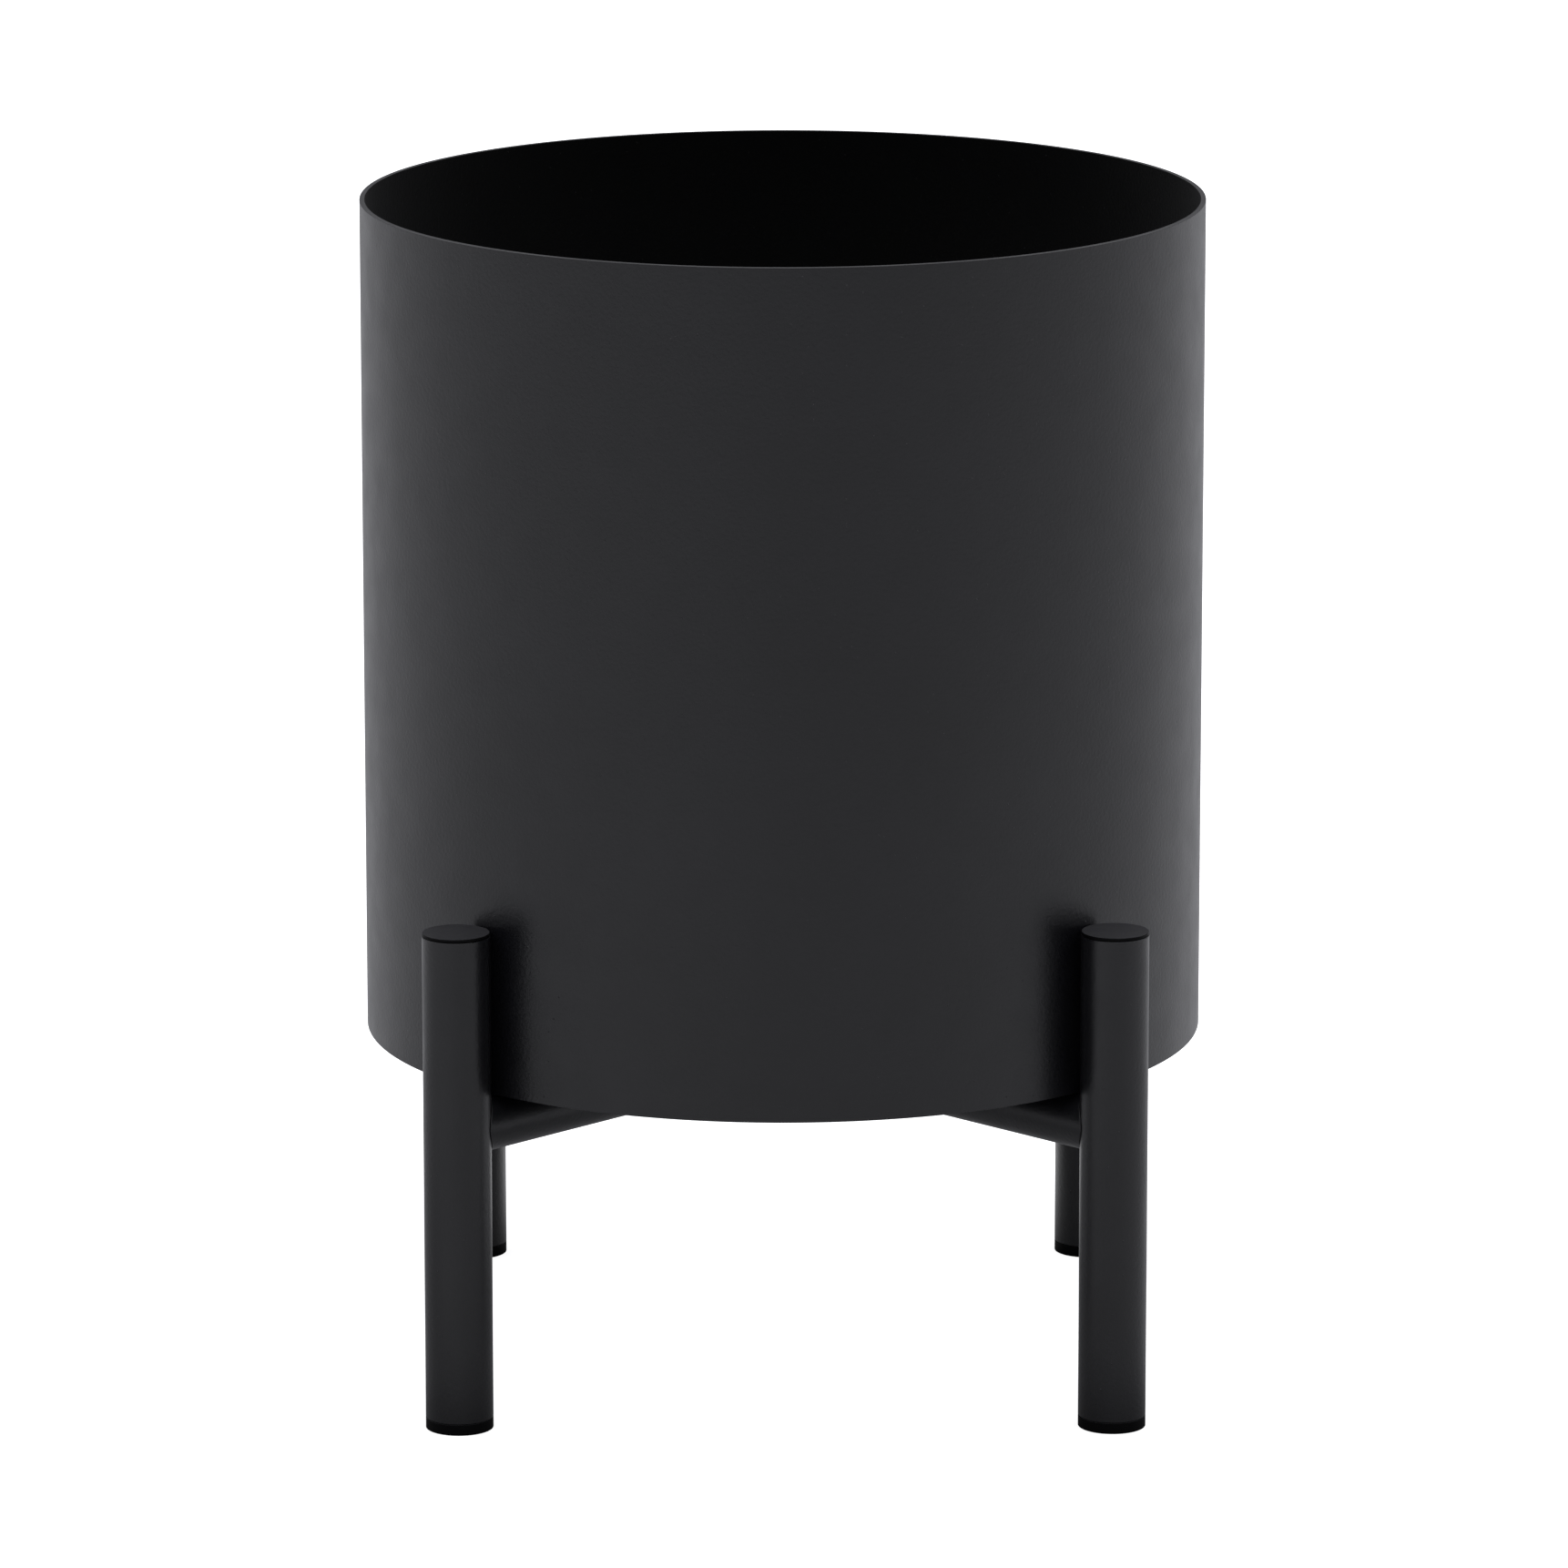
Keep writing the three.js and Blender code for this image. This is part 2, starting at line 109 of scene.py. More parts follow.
BAIL_BEND = 6 * MM
BAIL_DROOP = math.radians(24)
BAIL_HEAD = BAIL_WIRE + 1.8 * MM
BAIL_HEAD_DEPTH = 2 * MM

plate_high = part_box("stub_plate")[1]
PLATE_RADIUS = plate_high.x
PLATE_SHEET = 1.5 * MM
PLATE_LIP = 8 * MM
DISH_RADIUS = 136 * MM
DISH_SLOPE = 12 * MM
DISH_DEPTH = 13.8 * MM
DISH_TOP = plate_high.z - DISH_DEPTH
DISH_UNDER = DISH_TOP - PLATE_SHEET
STUB_HOLE = 7 * MM
STUB_RINGS = [(40 * MM, 8), (67 * MM, 14), (94 * MM, 20), (121 * MM, 26)]
ring_low, ring_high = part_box("lift_ring")
RING_WIRE = (ring_high.z - ring_low.z) / 2
RING_HEIGHT = (ring_high.z + ring_low.z) / 2
RING_RADIUS = ring_high.x - RING_WIRE
RING_BEND = 5 * MM
SADDLE_WIDTH = 14 * MM
SADDLE_SHEET = 1.5 * MM
SADDLE_HALF = 15 * MM
SADDLE_RIVET = 10.5 * MM
RIVET_SHANK = 2 * MM
RIVET_TAIL = 1 * MM
SHANK_HOLE = RIVET_SHANK + SEAT_GAP

CORNERS = {
    "front_left": (-1, -1),
    "front_right": (1, -1),
    "rear_right": (1, 1),
    "rear_left": (-1, 1),
}

POT_SEGMENTS = 360
SEGMENTS = 192
SMALL_SEGMENTS = 64
RIVET_SEGMENTS = 40
ON_AXIS = 1e-7  # a smaller radius is a pole

# ---------------------------------------------------------------------------------------------------
# Mesh helpers
# ---------------------------------------------------------------------------------------------------


def turns(count):
    """The angles of equal steps once round."""
    return [TAU * k / count for k in range(count)]


def around(radius, angle, height):
    return (radius * math.cos(angle), radius * math.sin(angle), height)


def arc(x, y, radius, start, end, steps):
    """Flat points round a centre from one angle to another, both ends included."""
    angles = [start + (end - start) * i / steps for i in range(steps + 1)]
    return [(x + radius * math.cos(a), y + radius * math.sin(a)) for a in angles]


def rounded(corners, steps, closed=False):
    """(radius, height, fillet) corners as (radius, height) points, each fillet drawn as an arc."""
    points = []
    count = len(corners)
    for i, (x, y, fillet) in enumerate(corners):
        at = Vector((x, y))
        if fillet <= 0 or (not closed and i in (0, count - 1)):
            points.append((x, y))
            continue
        back = (Vector(corners[i - 1][:2]) - at).normalized()
        ahead = (Vector(corners[(i + 1) % count][:2]) - at).normalized()
        half = back.angle(ahead) / 2
        centre = at + (back + ahead).normalized() * (fillet / math.sin(half))
        first = at + back * (fillet / math.tan(half)) - centre
        last = at + ahead * (fillet / math.tan(half)) - centre
        sweep = first.angle_signed(last)
        for step in range(steps + 1):
            turn = Matrix.Rotation(-sweep * step / steps, 2)
            points.append(tuple(centre + turn @ first))
    return points


def new_piece(name, verts, faces):
    mesh = bpy.data.meshes.new(name)
    mesh.from_pydata([tuple(v) for v in verts], [], faces)
    mesh.validate()
    piece = bpy.data.objects.new(name, mesh)
    bpy.context.scene.collection.objects.link(piece)
    return piece


def stacked(name, rings, closed=False, capped=False):
    """A skin from each ring of points to the next. A ring of one point is a pole."""
    verts, rows = [], []
    for ring in rings:
        rows.append(list(range(len(verts), len(verts) + len(ring))))
        verts += ring
    if closed:
        rows.append(rows[0])
    count = max(len(row) for row in rows)
    faces = []
    for low, high in zip(rows, rows[1:]):
        for k in range(count):
            n = (k + 1) % count
            corners = [low[k % len(low)], low[n % len(low)], high[n % len(high)], high[k % len(high)]]
            face = list(dict.fromkeys(corners))
            if len(face) > 2:
                faces.append(face)
    if capped:
        faces.append(rows[0][::-1])
        faces.append(rows[-1])
    return new_piece(name, verts, faces)


def turned(name, profile, segments=SEGMENTS, ring=False):
    """A solid of revolution about Z. Its profile runs up the outside and down the inside."""
    rings = []
    for radius, height in profile:
        if radius < ON_AXIS:
            rings.append([(0, 0, height)])
        else:
            rings.append([around(radius, angle, height) for angle in turns(segments)])
    return stacked(name, rings, closed=ring)


def upright_tube(name, radius, wall, low, high, edge, steps, segments):
    """A tube about Z whose edges are slightly rounded."""
    inner = radius - wall
    corners = [(inner, low, edge), (radius, low, edge), (radius, high, edge), (inner, high, edge)]
    return turned(name, rounded(corners, steps, closed=True), segments, ring=True)


def swept(name, path, radius, sides, closed=False, up=None):
    """Round wire along a path of points. radius is a number or one for each point."""
    count = len(path)
    path = [Vector(p) for p in path]
    radii = radius if isinstance(radius, list) else [radius] * count
    normal = Vector(up) if up else None
    rings = []
    for i, point in enumerate(path):
        before = path[i - 1] if closed or i else path[0]
        after = path[(i + 1) % count] if closed or i < count - 1 else path[-1]
        along = (after - before).normalized()
        if normal is None:
            normal = along.orthogonal()
        normal = (normal - along * normal.dot(along)).normalized()
        side = along.cross(normal)
        spokes = [math.cos(a) * normal + math.sin(a) * side for a in turns(sides)]
        rings.append([point + radii[i] * spoke for spoke in spokes])
    return stacked(name, rings, closed, capped=not closed)


def extruded(name, outline, depth):
    """A flat outline in X and Y, its corners anticlockwise, as a plate of a thickness about Z = 0."""
    rings = [[(x, y, height) for x, y in outline] for height in (-depth / 2, depth / 2)]
    return stacked(name, rings, capped=True)


def coped_tube(name, radius, wall, start, end, sides=SMALL_SEGMENTS):
    """A tube along X whose ends are cut to start(y, z) and end(y, z), inside and out."""
    rings = []
    for reach, cut in ((radius, start), (radius, end), (radius - wall, end), (radius - wall, start)):
        section = [(reach * math.cos(a), reach * math.sin(a)) for a in turns(sides)]
        rings.append([(cut(y, z), y, z) for y, z in section])
    return stacked(name, rings, closed=True)


def place(piece, matrix):
    piece.data.transform(matrix)
    return piece


def drill(radius, low, high, flare, sides):
    """A cutter along Z between two heights, widened where it leaves them to break the hole's edges."""
    reach = high - low
    profile = [
        (0, low - reach),
        (radius + flare + reach, low - reach),
        (radius, low + flare),
        (radius, high - flare),
        (radius + flare + reach, high + reach),
        (0, high + reach),
    ]
    return turned("drill", profile, sides)


def drill_circle(count, distance, radius, low, high, flare, sides):
    """Drills at equal steps round Z, all at one distance from it."""
    drills = []
    for angle in turns(count):
        turn = Matrix.Rotation(angle, 4, "Z") @ Matrix.Translation((distance, 0, 0))
        drills.append(place(drill(radius, low, high, flare, sides), turn))
    return drills


def cross_drill(radius, shift, reach, sides):
    """A plain round cutter along X, which reaches as far to both sides of its place."""
    cutter = turned("cutter", [(0, -reach), (radius, -reach), (radius, reach), (0, reach)], sides)
    place(cutter, Matrix.Rotation(QUARTER, 4, "Y"))
    return place(cutter, Matrix.Translation(shift))


def joined(pieces):
    """Several meshes as one object, in place of them."""
    verts, faces = [], []
    for piece in pieces:
        start = len(verts)
        verts += [v.co.copy() for v in piece.data.vertices]
        faces += [[start + i for i in face.vertices] for face in piece.data.polygons]
    for piece in pieces:
        bpy.data.objects.remove(piece)
    return new_piece("joined", verts, faces)


def apply_modifiers(piece):
    bpy.context.view_layer.update()
    graph = bpy.context.evaluated_depsgraph_get()
    mesh = bpy.data.meshes.new_from_object(piece.evaluated_get(graph))
    old = piece.data
    piece.modifiers.clear()
    piece.data = mesh
    bpy.data.meshes.remove(old)
    return piece


def drilled(piece, drills):
    """Cuts the drills out of a piece and removes them."""
    cutter = joined(drills)
    cut = piece.modifiers.new("cut", "BOOLEAN")
    cut.operation = "DIFFERENCE"
    cut.solver = "EXACT"
    cut.object = cutter
    apply_modifiers(piece)
    bpy.data.objects.remove(cutter)
    return piece


def bevelled(piece, width, angle):
    """Bevels the edges that turn by more than an angle, in degrees."""
    edge = piece.modifiers.new("bevel", "BEVEL")
    edge.width = width
    edge.segments = 2
    edge.limit_method = "ANGLE"
    edge.angle_limit = math.radians(angle)
    return apply_modifiers(piece)


def finish_piece(piece, body, material, *nodes, angle=35):
    """Shades a piece, gives it its finish and joins it to its body in place of its CAD nodes.

    Edges that turn by more than the angle, in degrees, stay sharp.
    """
    piece.data.shade_smooth()
    piece.data.set_sharp_from_angle(angle=math.radians(angle))
    normals = piece.modifiers.new("normals", "WEIGHTED_NORMAL")
    normals.keep_sharp = True
    normals.weight = 80
    piece.data.materials.clear()
    piece.data.materials.append(material)
    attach(piece, body)
    if nodes:
        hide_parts(*nodes)
    return piece


# ---------------------------------------------------------------------------------------------------
# Materials
# ---------------------------------------------------------------------------------------------------

MIDDLE = (0.3, 0.7)  # most of a noise texture's values lie between these


class Wiring:
    """Short ways to add and join nodes in a world's or a material's tree."""

    def __init__(self, tree):
        self.tree = tree

    def add(self, kind, **values):
        node = self.tree.nodes.new(kind)
        for key, value in values.items():
            setattr(node, key, value)
        return node

    def link(self, source, target):
        self.tree.links.new(source, target)

    def span(self, value, low, high, to_low, to_high, blend="LINEAR"):
        """A value's stretch from low to high, made to run from to_low to to_high."""
        node = self.add("ShaderNodeMapRange", interpolation_type=blend)
        node.inputs["From Min"].default_value = low
        node.inputs["From Max"].default_value = high
        node.inputs["To Min"].default_value = to_low
        node.inputs["To Max"].default_value = to_high
        self.link(value, node.inputs["Value"])
        return node.outputs["Result"]

    def pair(self, operation, first, second):
        node = self.add("ShaderNodeMath", operation=operation)
        self.link(first, node.inputs[0])
        self.link(second, node.inputs[1])
        return node.outputs[0]

    def vector(self, operation, vector, other=None):
        """The outputs of a vector node with one or two inputs, the second of them fixed."""
        node = self.add("ShaderNodeVectorMath", operation=operation)
        self.link(vector, node.inputs[0])
        if other is not None:
            node.inputs[1].default_value = other
        return node.outputs

    def along(self, vector, way):
        """How far a vector points along a fixed way."""
        return self.vector("DOT_PRODUCT", vector, way)["Value"]

    def distance(self, vector, point):
        return self.vector("DISTANCE", vector, point)["Value"]


class Shader(Wiring):
    """A small builder for one node material. Its textures follow the piece, in metres."""

    def __init__(self, name, slot):
        self.material = bpy.data.materials.new(name)
        self.material.use_nodes = True
        self.material["slot"] = slot
        super().__init__(self.material.node_tree)
        self.surface = self.tree.nodes["Principled BSDF"]
        self.place = self.add("ShaderNodeTexCoord").outputs["Object"]

    def feed(self, name, source):
        """Sets one input of the surface, from a number or another node."""
        socket = self.surface.inputs[name]
        if isinstance(source, (int, float)):
            socket.default_value = source
        else:
            self.link(source, socket)

    def stretched(self, scale):
        node = self.add("ShaderNodeMapping")
        node.inputs["Scale"].default_value = scale
        self.link(self.place, node.inputs["Vector"])
        return node.outputs["Vector"]

    def noise(self, scale, detail, roughness=0.5, place=None):
        node = self.add("ShaderNodeTexNoise")
        node.inputs["Scale"].default_value = scale
        node.inputs["Detail"].default_value = detail
        node.inputs["Roughness"].default_value = roughness
        self.link(place or self.place, node.inputs["Vector"])
        return node.outputs["Fac"]

    def cells(self, scale):
        """Random cells: the distance from each one's centre, and two numbers drawn for each."""
        node = self.add("ShaderNodeTexVoronoi")
        node.inputs["Scale"].default_value = scale
        self.link(self.place, node.inputs["Vector"])
        split = self.add("ShaderNodeSeparateColor")
        self.link(node.outputs["Color"], split.inputs["Color"])
        return node.outputs["Distance"], split.outputs["Red"], split.outputs["Green"]

    def mix(self, factor, first, second):
        node = self.add("ShaderNodeMix", data_type="RGBA")
        for key, value in (("A", first), ("B", second)):
            socket = [s for s in node.inputs if s.name == key and s.type == "RGBA"][0]
            if isinstance(value, tuple):
                socket.default_value = (*value, 1)
            else:
                self.link(value, socket)
        self.link(factor, node.inputs["Factor"])
        return [s for s in node.outputs if s.type == "RGBA"][0]

    def bump(self, height, strength, distance, under=None):
        node = self.add("ShaderNodeBump")
        node.inputs["Strength"].default_value = strength
        node.inputs["Distance"].default_value = distance
        self.link(height, node.inputs["Height"])
        if under is not None:
            self.link(under, node.inputs["Normal"])
        return node.outputs["Normal"]

    def upward(self):
        """1 on faces that look up, 0 on upright and downward ones."""
        split = self.add("ShaderNodeSeparateXYZ")
        self.link(self.add("ShaderNodeNewGeometry").outputs["Normal"], split.inputs["Vector"])
        return self.span(split.outputs["Z"], 0.75, 0.98, 0, 1)


def powder_coat(name, tone, gloss, roughness, dust=0):
    """Charcoal powder coat: satin, a fine grain, and here and there a small raised nib."""
    coat = Shader(name, "charcoal_paint")
    lighter = tuple(1.6 * c for c in tone)
    drift = 0.025
    nib_radius, rare = 0.17, (0.90, 0.95)
    clouds = coat.span(coat.noise(scale=14, detail=3), *MIDDLE, 0, 1)
    coat.feed("Base Color", coat.mix(clouds, tone, lighter))
    patches = coat.noise(scale=60, detail=3)
    coat.feed("Roughness", coat.span(patches, *MIDDLE, roughness - drift, roughness + drift))
    coat.feed("Specular IOR Level", gloss)
    coat.feed("Sheen Weight", dust)
    coat.feed("Sheen Roughness", 0.56)
    grain = coat.noise(scale=550, detail=2, roughness=0.6)
    grain = coat.bump(grain, strength=0.8, distance=0.16 * MM)
    distance, chance, _ = coat.cells(scale=400)
    nibs = coat.span(distance, 0, nib_radius, 1, 0)
    nibs = coat.pair("MULTIPLY", nibs, coat.span(chance, *rare, 0, 1))
    coat.feed("Normal", coat.bump(nibs, strength=1, distance=0.3 * MM, under=grain))
    return coat.material


def moulded_plastic(name):
    """Black polyethylene: dull sides, and a painted highlight, a lighter grey on the faces that look up.
    """
    plastic = Shader(name, "black_plastic")
    side, top = (0.002, 0.002, 0.0022), (0.022, 0.022, 0.024)
    side_gloss, top_gloss = 0.06, 0.4
    up = plastic.upward()
    # Painted light: faces that look up get a lighter base colour than the sides, as if lit from above.
    plastic.feed("Base Color", plastic.mix(up, side, top))
    plastic.feed("Specular IOR Level", plastic.span(up, 0, 1, side_gloss, top_gloss))
    patches = plastic.noise(scale=90, detail=2)
    plastic.feed("Roughness", plastic.span(patches, *MIDDLE, 0.46, 0.56))
    grain = plastic.noise(scale=1900, detail=1)
    plastic.feed("Normal", plastic.bump(grain, strength=0.25, distance=0.02 * MM))
    return plastic.material


def soft_rubber(name):
    """Black rubber with a light dust in patches."""
    rubber = Shader(name, "black_rubber")
    clean, dusty = (0.006, 0.006, 0.006), (0.02, 0.019, 0.018)
    dust = rubber.span(rubber.noise(scale=220, detail=3), 0.45, 0.75, 0, 1)
    rubber.feed("Base Color", rubber.mix(dust, clean, dusty))
    rubber.feed("Roughness", 0.8)
    grain = rubber.noise(scale=1600, detail=2)
    rubber.feed("Normal", rubber.bump(grain, strength=0.4, distance=0.04 * MM))
    return rubber.material


def galvanised(name):
    """Zinc with a spangle of flat crystals, dulled by a cloudy bloom."""
    zinc = Shader(name, "galvanised_steel")
    dark, light, clouded = (0.34, 0.36, 0.38), (0.50, 0.52, 0.54), (0.46, 0.47, 0.47)
    _, shade, polish = zinc.cells(scale=120)
    bloom = zinc.span(zinc.noise(scale=9, detail=4, roughness=0.6), 0.45, 0.75, 0, 0.7)
    zinc.feed("Base Color", zinc.mix(bloom, zinc.mix(shade, dark, light), clouded))
    zinc.feed("Roughness", zinc.span(polish, 0, 1, 0.30, 0.48))
    zinc.feed("Metallic", 0.92)
    waves = zinc.noise(scale=350, detail=2)
    zinc.feed("Normal", zinc.bump(waves, strength=0.15, distance=0.05 * MM))
    return zinc.material


def brushed_steel(name):
    """Stainless sheet brushed along X, with a little soot in cloudy patches."""
    steel = Shader(name, "stainless_steel")
    dark, light, sooty = (0.40, 0.40, 0.395), (0.56, 0.56, 0.55), (0.14, 0.135, 0.13)
    lines = steel.stretched((25, 2400, 2400))
    brush = steel.noise(scale=1, detail=3, roughness=0.6, place=lines)
    soot = steel.span(steel.noise(scale=16, detail=4, roughness=0.6), 0.45, 0.85, 0, 0.45)
    steel.feed("Base Color", steel.mix(soot, steel.mix(brush, dark, light), sooty))
    steel.feed("Roughness", steel.span(brush, *MIDDLE, 0.26, 0.42))
    steel.feed("Metallic", 1.0)
    steel.feed("Normal", steel.bump(brush, strength=0.12, distance=0.03 * MM))
    return steel.material


paint = powder_coat("charcoal_powder_coat", (0.0022, 0.0022, 0.003), gloss=0.5, roughness=0.34)
# Painted shade: the inside of the pot and its floor plate take a far darker copy of the outer paint.
inside_coat_painted_shade = powder_coat(
    "painted_shade_inside_coat", (0.0002, 0.0003, 0.0003), gloss=0.05, roughness=0.3, dust=0.04
)
plastic = moulded_plastic("black_moulded_plastic")
rubber = soft_rubber("black_rubber")
zinc = galvanised("galvanised_zinc")
steel = brushed_steel("brushed_stainless")

# ---------------------------------------------------------------------------------------------------
# Stand
# ---------------------------------------------------------------------------------------------------


def corner_shift(corner):
    x, y = CORNERS[corner]
    return Matrix.Translation((x * LEG_PLACE, y * LEG_PLACE, 0))


def make_leg(corner):
    edge = 0.3 * MM
    low, high = leg_low.z, leg_high.z
    leg = upright_tube(f"leg_{corner}_tube", LEG_RADIUS, LEG_WALL, low, high, edge, 3, SMALL_SEGMENTS)
    place(leg, corner_shift(corner))
    finish_piece(leg, "stand", paint, f"leg_{corner}")


def make_cap(kind, corner, radius, face, seat, plug_end, dome, edge):
    """A push-in cap between its outer face and its plug's end, with a slight dome on the face."""
    up = 1 if face > seat else -1
    bore = PLUG_RADIUS - PLUG_WALL
    profile = [
        (0, seat, 0),
        (bore, seat, 0.6 * MM),
        (bore, plug_end, 0.4 * MM),
        (PLUG_RADIUS, plug_end, 0.7 * MM),
        (PLUG_RADIUS, seat, 0),
        (radius, seat, 0.2 * MM),
        (radius, face - up * dome, edge),
        (0.5 * radius, face - up * 0.25 * dome, 0),
        (0, face, 0),
    ]
    cap = turned(f"{kind}_{corner}_moulding", rounded(profile, 4), SMALL_SEGMENTS)
    if up < 0:
        cap.data.flip_normals()
    place(cap, corner_shift(corner))
    finish_piece(cap, "stand", plastic, f"{kind}_{corner}")


def make_caps(corner):
    low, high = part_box(f"top_cap_{corner}")
    radius = (high.x - low.x) / 2 + TOP_CAP_LAP
    seat = leg_high.z + SEAT_GAP
    make_cap("top_cap", corner, radius, high.z, seat, low.z, dome=0.1 * MM, edge=0.15 * MM)
    low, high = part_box(f"foot_cap_{corner}")
    seat = leg_low.z - SEAT_GAP
    make_cap("foot_cap", corner, LEG_RADIUS, low.z, seat, high.z, dome=0.05 * MM, edge=0.3 * MM)


def leg_cope(x, y, radius):
    """The near side of an upright leg on the X axis, at a sideways distance y from that axis."""
    return x - math.copysign(math.sqrt(max(radius**2 - y**2, 0)), x)


def weld_bead(name, path, size, body, closed=True, ripple=0.1):
    """A weld bead: a thin cord along a joint that swells and pinches at each ripple."""
    slow_share, slow_waves = 0.4, 3
    tip, taper = 0.4, 12
    length = sum((Vector(b) - Vector(a)).length for a, b in zip(path, path[1:]))
    ripples = max(4, round(length / RIPPLE_PITCH))
    radii = []
    for i in range(len(path)):
        along = i / len(path)
        wave = math.cos(TAU * ripples * along) + slow_share * math.sin(TAU * slow_waves * along)
        end = 1 if closed else min(1, tip + taper * min(along, 1 - along))
        radii.append(size * end * (1 - ripple + ripple * wave))
    finish_piece(swept(name, path, radii, 10, closed), body, paint, angle=80)


def bar_matrix(turn):
    return Matrix.Translation((0, 0, BAR_HEIGHT)) @ Matrix.Rotation(turn, 4, "Z")


def joint_path(turn, cope, steps=300):
    """The line where a bar's surface meets what its end is coped to."""
    section = [(BAR_RADIUS * math.cos(a), BAR_RADIUS * math.sin(a)) for a in turns(steps)]
    return [bar_matrix(turn) @ Vector((cope(y, z), y, z)) for y, z in section]


def make_bars():
    """One bar runs through from leg to leg, and two short ones are coped to its sides."""
    reach = LEG_RADIUS + SEAT_GAP
    saddle = BAR_RADIUS + SEAT_GAP

    def far_end(y, z):
        return leg_cope(LEG_AXIS, y, reach)

    def near_end(y, z):
        return leg_cope(-LEG_AXIS, y, reach)

    def crossing(y, z):
        return math.sqrt(max(saddle**2 - z**2, 0))

    long_bar = coped_tube("cross_bar_long_tube", BAR_RADIUS, BAR_WALL, near_end, far_end)
    finish_piece(place(long_bar, bar_matrix(EIGHTH)), "stand", paint, "cross_bar_long")
    for side, turn in (("right", -EIGHTH), ("left", 3 * EIGHTH)):
        bar = coped_tube(f"cross_bar_short_{side}_tube", BAR_RADIUS, BAR_WALL, crossing, far_end)
        finish_piece(place(bar, bar_matrix(turn)), "stand", paint, f"cross_bar_short_{side}")
        weld_bead(f"weld_crossing_{side}", joint_path(turn, crossing), 2 * BEAD, "stand")
    for quarter, corner in enumerate(("rear_right", "rear_left", "front_left", "front_right")):
        turn = EIGHTH + quarter * QUARTER
        weld_bead(f"weld_leg_{corner}", joint_path(turn, far_end), BEAD, "stand", ripple=0.06)


def make_stand():
    for corner in CORNERS:
        make_leg(corner)
        make_caps(corner)
    make_bars()


# ---------------------------------------------------------------------------------------------------
# Pot
# ---------------------------------------------------------------------------------------------------


def make_pot_shell():
    edge = 0.2 * MM
    low, high = POT_BOTTOM, POT_TOP
    shell = upright_tube("pot_shell_sheet", POT_RADIUS, POT_WALL, low, high, edge, 5, POT_SEGMENTS)
    finish_piece(shell, "pot", paint, "pot_shell")
    shell.data.materials.append(inside_coat_painted_shade)
    # Painted shade: the faces inside the wall take the darker inside coat.
    inside_edge = POT_RADIUS - 0.9 * POT_WALL
    for face in shell.data.polygons:
        if face.center.xy.length < inside_edge:
            face.material_index = 1


def make_pot_seam():
    """The ground-down seam of the rolled wall, a hair proud of the sheet at the rear."""
    proud, sunk, root = 0.2 * MM, 0.02 * MM, 0.4 * MM
    half = 2.2 * MM
    sway, waves = 0.25 * MM, 37 / 6
    margin = 0.8 * MM
    rows = 240
    low, high = POT_BOTTOM + margin, POT_TOP - margin
    section = [(share, proud * (1 - share**2) - sunk) for share in (-1, -0.8, -0.4, 0, 0.4, 0.8, 1)]
    section += [(1, -root), (-1, -root)]
    rings = []
    for i in range(rows + 1):
        height = low + (high - low) * i / rows
        shift = sway * math.sin(TAU * waves * i / rows)
        ring = []
        for share, out in section:
            angle = QUARTER + (half * share + shift) / POT_RADIUS
            ring.append(around(POT_RADIUS + out, angle, height))
        rings.append(ring)
    finish_piece(stacked("pot_seam", rings, capped=True), "pot", paint, angle=80)


def make_pot_base():
    edge = flare = 0.4 * MM
    low, high = floor_low.z, floor_high.z
    radius = floor_high.x
    profile = [(0, low, 0), (radius, low, edge), (radius, high, edge), (0, high, 0)]
    base = turned("pot_base_sheet", rounded(profile, 3))
    drilled(base, drill_circle(4, DRAIN_RADIUS, DRAIN_HOLE, low, high, flare, 32))
    # The floor plate inside the pot takes the same painted shade.
    finish_piece(base, "pot", inside_coat_painted_shade, "pot_base")


def make_pot_stitches():
    """Short fillet welds under the floor plate, round the foot of the wall."""
    radius = POT_INNER - 0.6 * MM
    height = floor_low.z - 0.5 * MM
    steps = 60
    for k in range(STITCHES):
        start = TAU * (k + 0.5) / STITCHES - STITCH_ANGLE / 2
        bend = arc(0, 0, radius, start, start + STITCH_ANGLE, steps)
        path = [(x, y, height) for x, y in bend]
        weld_bead(f"weld_floor_{k}", path, STITCH_SIZE, "pot", closed=False)


def make_pads():
    """Round rubber pads, each with a shallow hollow in its underside."""
    hollow = 0.6 * MM
    for corner in CORNERS:
        low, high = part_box(f"base_pad_{corner}")
        radius = (high.x - low.x) / 2
        profile = [
            (0, low.z + hollow, 0),
            (0.35 * radius, low.z + hollow, 0.3 * MM),
            (0.4 * radius, low.z, 0.3 * MM),
            (radius, low.z, 0.8 * MM),
            (radius, high.z, 0.3 * MM),
            (0, high.z, 0),
        ]
        pad = turned(f"base_pad_{corner}_disc", rounded(profile, 3), SMALL_SEGMENTS)
        place(pad, Matrix.Translation(((low.x + high.x) / 2, (low.y + high.y) / 2, 0)))
        finish_piece(pad, "pot", rubber, f"base_pad_{corner}")


def make_pot():
    make_pot_shell()
    make_pot_seam()
    make_pot_base()
    make_pot_stitches()
    make_pads()


# ---------------------------------------------------------------------------------------------------
# Bucket
# ---------------------------------------------------------------------------------------------------


def bucket_radius(height):
    """The bucket's outer radius at a height: a taper with two swages that stand out from it."""
    share = (height - BUCKET_BOTTOM) / (SHEET_TOP - BUCKET_BOTTOM)
    radius = BUCKET_BOTTOM_RADIUS + share * (BUCKET_TOP_RADIUS - BUCKET_BOTTOM_RADIUS)
    for swage_share in SWAGE_SHARES:
        middle = BUCKET_BOTTOM + swage_share * (BUCKET_TOP - BUCKET_BOTTOM)
        radius += SWAGE_RISE * math.exp(-(((height - middle) / SWAGE_WIDTH) ** 2))
    return radius


